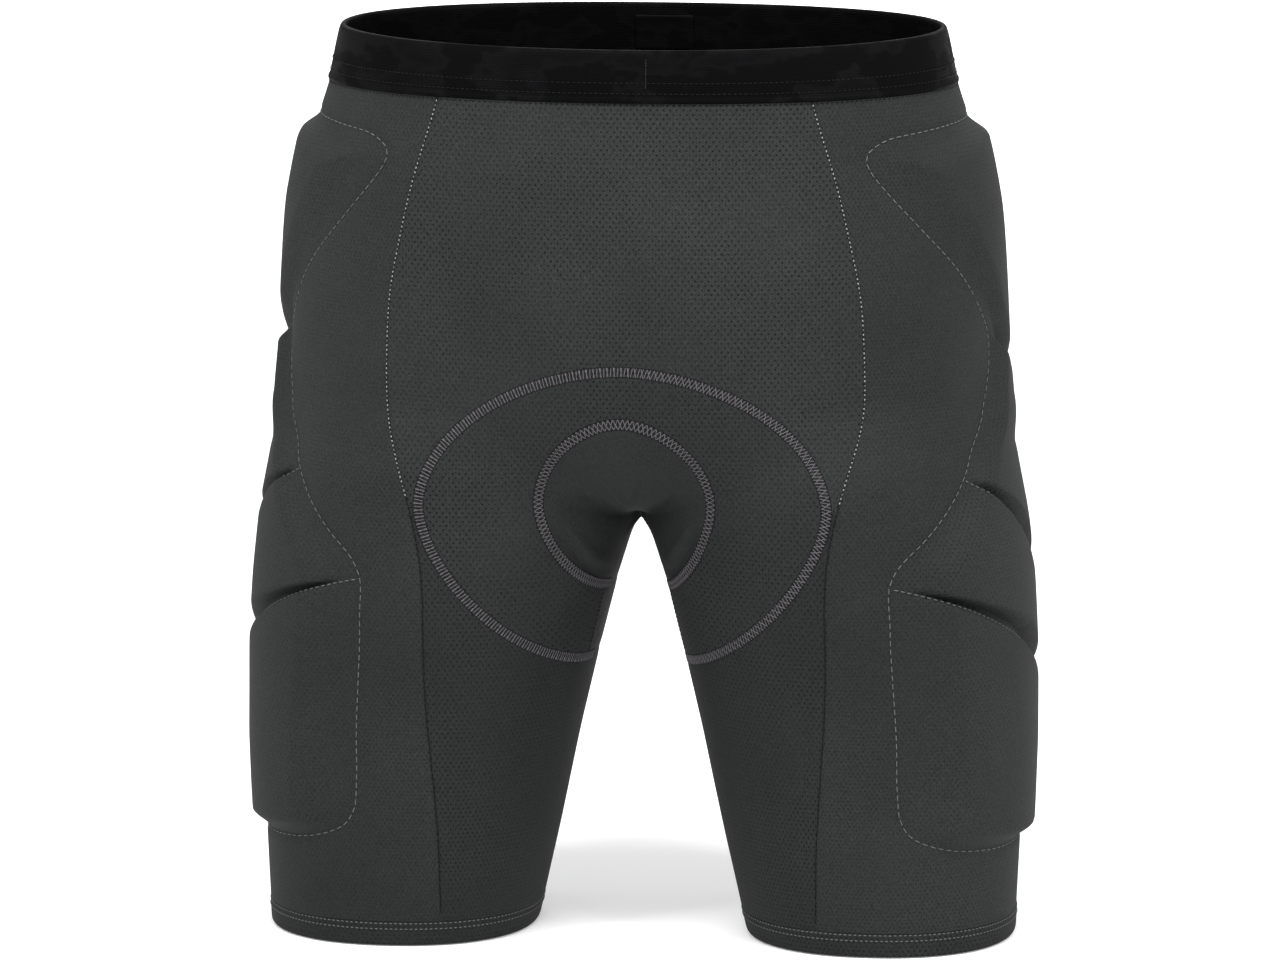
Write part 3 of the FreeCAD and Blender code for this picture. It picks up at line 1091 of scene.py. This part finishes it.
def waistband():
    """Folded fabric cover and its elastic core."""
    low, high = BAND_BOTTOM, TOP
    cover = [(0.3, low - 0.6), (1.25, low + 0.1), (1.35, low + 1.2), (0.9, low + 3.2),
             (1.15, low + 9), (1.2, high - 9), (1.0, high - 3), (0.4, high - 0.5), (-0.8, high),
             (-2.0, high - 0.6), (-2.6, high - 3), (-2.7, high - 12), (-2.6, low + 3),
             (-2.0, low + 0.3), (-0.8, low)]
    piece = ring_piece("waistband_fabric", fine(cover), None, BAND, dip)
    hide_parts("waistband_cover")
    core = [(0.0, low + 3), (0.2, low + 4), (0.2, high - 5), (0.0, high - 4), (-1.4, high - 4),
            (-1.6, high - 5), (-1.6, low + 4), (-1.4, low + 3)]
    piece = ring_piece("waistband_core", core, None, ELASTIC, dip)
    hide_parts("waistband_elastic")


def hems():
    """Turned hems and the gripper elastic inside each."""
    for side, name in SIDES:
        top = HEM_TOP
        fold_profile = [(-0.35, top + 0.2), (0.12, top - 0.8), (0.28, top - 2.5), (0.30, 4.0),
                        (0.15, 1.2), (-0.5, 0.2), (-1.2, 0.0), (-1.9, 0.3), (-2.3, 1.4),
                        (-2.35, 5.0), (-2.3, top - 1), (-1.6, top + 0.2)]
        # the turned hem takes the darker knit with the painted shade of the legs
        piece = ring_piece("hem_%s_turned" % name, fine(fold_profile, 0.8), side, LEG_KNIT_PAINTED_SHADE)
        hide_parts("hem_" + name)
        grip = [(-2.5, 2.0), (-2.45, top - 2), (-3.1, top - 2), (-3.15, 2.0)]
        piece = ring_piece("hem_%s_grip" % name, grip, side, ELASTIC)
        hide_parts("hem_gripper_" + name)


def label():
    """Blank label inside the back of the waistband."""
    low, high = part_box("size_label")
    width = (high.x - low.x) / MM
    drop = (high.z - low.z) / MM
    u = np.linspace(-width / 2, width / 2, 25)
    v = np.linspace(0, drop, 15)
    gu, gv = np.meshgrid(u, v, indexing="ij")
    z = high.z / MM - gv
    base, _ = on_face(gu.reshape(-1), z.reshape(-1), False)
    normals = level_normal(base)
    bow = 0.25 * np.cos(gu.reshape(-1) / width * math.pi)
    outer = base - normals * (2.9 + bow)[:, None]
    inner = outer - normals * 0.3
    cells = []
    for i in range(len(u) - 1):
        for j in range(len(v) - 1):
            a = i * len(v) + j
            b = a + len(v)
            cells.append((a, b, b + 1))
            cells.append((a, b + 1, a + 1))
    faces = closed(np.array(cells), len(outer))
    piece = new_piece("blank_label", np.concatenate([outer, inner]), faces, BAND)
    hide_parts("size_label")


# ---- stitching

def xz_line(x, z, front):
    """A line on the front or back from its x and z."""
    base, hit = on_face(x, z, front)
    return Line(base[hit])


def princess_stitching():
    """Princess seams: bright and dim stitches above the insert, dark ones down the legs."""
    for front in (True, False):
        face = "front" if front else "back"
        for side, name in SIDES:
            z = np.arange(BAND_BOTTOM - 1, HEM_TOP + 1, -0.7)
            line = xz_line(side * princess_at(z), z, front)
            rows = row_of(line, 2.3, 0.42, 0.0, 0.35)
            above = rows[0][:, 2] > OVAL["z"] + 5
            dim = above & (np.arange(len(above)) % 4 == 1)
            bright = above & ~dim
            threads("princess_stitches_%s_%s" % (face, name), *[r[bright] for r in rows], 0.33,
                    THREAD_LIGHT, "pinhole_knit")
            threads("princess_dim_stitches_%s_%s" % (face, name), *[r[dim] for r in rows], 0.33,
                    THREAD_MID, "pinhole_knit")
            bed = row_of(line, 2.3, 1.2, 0.0, -0.1)
            threads("princess_bed_%s_%s" % (face, name), *bed, 0.36, THREAD_DARK,
                    "pinhole_knit", 0.3)
            threads("princess_lower_stitches_%s_%s" % (face, name), *[r[~above] for r in rows],
                    0.26, THREAD_DARK, "pinhole_knit")


def inseam_stitching():
    """Short inner leg seams of the insert, from the gusset's corner down to the oval seam."""
    z = np.arange(177.0, 140.0, -0.7)
    inner = leg_at(z)[0]
    for side, name in SIDES:
        line = xz_line(side * (inner + 3.0), z, True)
        threads("inseam_stitches_" + name, *row_of(line, 2.3, 0.6, 0.0, 0.3), 0.30, THREAD_DARK,
                "pinhole_knit")


def flatlock(name, egg, width, crossed):
    """Wide flat seam: edge rows and the threads that cross between them."""
    for front in (True, False):
        face = "front" if front else "back"
        path = egg_path(egg)
        x = np.concatenate([-path[::-1, 0], path[1:, 0]])
        z = np.concatenate([path[::-1, 1], path[1:, 1]])
        base, hit = on_face(x, z, front)
        base = base[hit]
        middle = np.argmax(base[:, 2])
        steps = np.linalg.norm(np.diff(base, axis=0), axis=1) > 6
        breaks = np.flatnonzero(steps)
        left = breaks[breaks < middle].max() + 1 if (breaks < middle).any() else 0
        right = breaks[breaks >= middle].min() + 1 if (breaks >= middle).any() else len(base)
        line = Line(base[left:right])
        if crossed:
            groups = [bars(line, 2.3, width, 2.3), bars(line, 2.3, width, -2.3, 0.35)]
        else:
            groups = [bars(line, 1.7, width, 0.5, steeper=1.6),
                      bars(line, 3.4, width, -0.6, 0.3, steeper=-2.0)]
        threads("%s_seam_%s" % (name, face), *joined(*groups), 0.23, THREAD_FLAT, "smooth_knit")
        threads("%s_seam_bed_%s" % (name, face), *row_of(line, 2.0, 1.3, 0.0, -0.75),
                width * 0.45, THREAD_DARK, "smooth_knit", 0.1)
        edges = [row_of(line, 1.6, 0.95, width / 2, 0.1), row_of(line, 1.6, 0.95, -width / 2, 0.1)]
        threads("%s_seam_edges_%s" % (name, face), *joined(*edges), 0.30, THREAD_DARK,
                "smooth_knit")


def outline_stitches(name, line, slot):
    """One row round a pad's pocket."""
    threads(name, *row_of(line, 4.4, 0.66, 0.0, 0.3, 0.5), 0.27, THREAD_MID, slot)


def pad_stitching():
    """Rows round the side pads and along the two lower flex grooves."""
    for side, name in SIDES:
        loop = dense(SHORTS_LOOP)
        line = Line(on_side(loop[:, 0], loop[:, 1], side))
        outline_stitches("pad_outline_stitches_" + name, line, "side_knit")
        groups = []
        for (y0, z0), (y1, z1), *_ in GROOVES[1:]:
            t = np.linspace(0, 1, 260)
            y, z = y0 + (y1 - y0) * t, z0 + (z1 - z0) * t
            keep = inside_distance(SHORTS_LOOP, y, z) > 0.4
            line = Line(on_side(y[keep], z[keep], side))
            groups.append(row_of(line, 3.4, 0.62, 0.0, 0.3, 0.5))
        threads("groove_stitches_" + name, *joined(*groups), 0.27, THREAD_MID, "side_knit")


def tail_stitching():
    loop = dense(TAIL_LOOP)
    base, hit = on_face(loop[:, 0], loop[:, 1], False)
    outline_stitches("tailbone_outline_stitches", Line(base[hit]), "pinhole_knit")


def ring_rows(z, side, outset, pitch, fill, shape=None):
    """Start, end and normal arrays of a row round the torso or one leg."""
    points, normals = loop_points(z, side, 1600)
    points = points + normals * outset
    if shape is not None:
        points = shape(points)
    at = np.concatenate([[0], np.cumsum(np.linalg.norm(np.diff(points, axis=0), axis=1))])
    s = np.arange(0, at[-1], pitch)

    def take(v, where):
        return np.stack([np.interp(where, at, v[:, a]) for a in range(3)], 1)

    half = pitch * fill / 2
    return take(points, s - half), take(points, s + half), take(normals, s)


def band_stitching():
    """Rows round the waistband and the short join at its front."""
    rows = [ring_rows(BAND_BOTTOM + 4.5, None, 1.25, 2.6, 0.6, dip),
            ring_rows(BAND_BOTTOM + 10.0, None, 1.35, 2.6, 0.6, dip)]
    threads("waistband_cover_stitches", *joined(*rows), 0.26, THREAD_DARK, "waistband_weave")
    rows = ring_rows(BAND_BOTTOM - 1.4, None, 0.2, 2.6, 0.5, dip)
    threads("waistband_edge_stitches", *rows, 0.26, THREAD_DARK, "waistband_weave")
    z = np.arange(BAND_BOTTOM + 7, TOP - 3, 0.7)
    base, _ = on_face(np.full(len(z), 12.0), z, True)
    normals = level_normal(base)
    base = dip(base + normals * 1.25)
    at = np.arange(0, len(base) - 3, 2)
    threads("waistband_join_stitches", base[at], base[at + 2], normals[at], 0.22, SIDE,
            "waistband_weave")


def hem_stitching():
    """Double row round each hem."""
    for side, name in SIDES:
        rows = [ring_rows(HEM_TOP - 0.6, side, 0.22, 2.5, 0.55),
                ring_rows(HEM_TOP - 3.4, side, 0.45, 2.5, 0.55)]
        threads("hem_stitches_" + name, *joined(*rows), 0.27, THREAD_MID, "pinhole_knit")


camera()
studio()
cloth = panels(garment_net())
inner_pads(cloth)
waistband()
hems()
label()
princess_stitching()
inseam_stitching()
flatlock("oval", OVAL, 5.0, False)
flatlock("ring", RING, 5.3, True)
pad_stitching()
tail_stitching()
band_stitching()
hem_stitching()


def corners(box):
    return [[float(v) for v in box[0]], [float(v) for v in box[1]]]
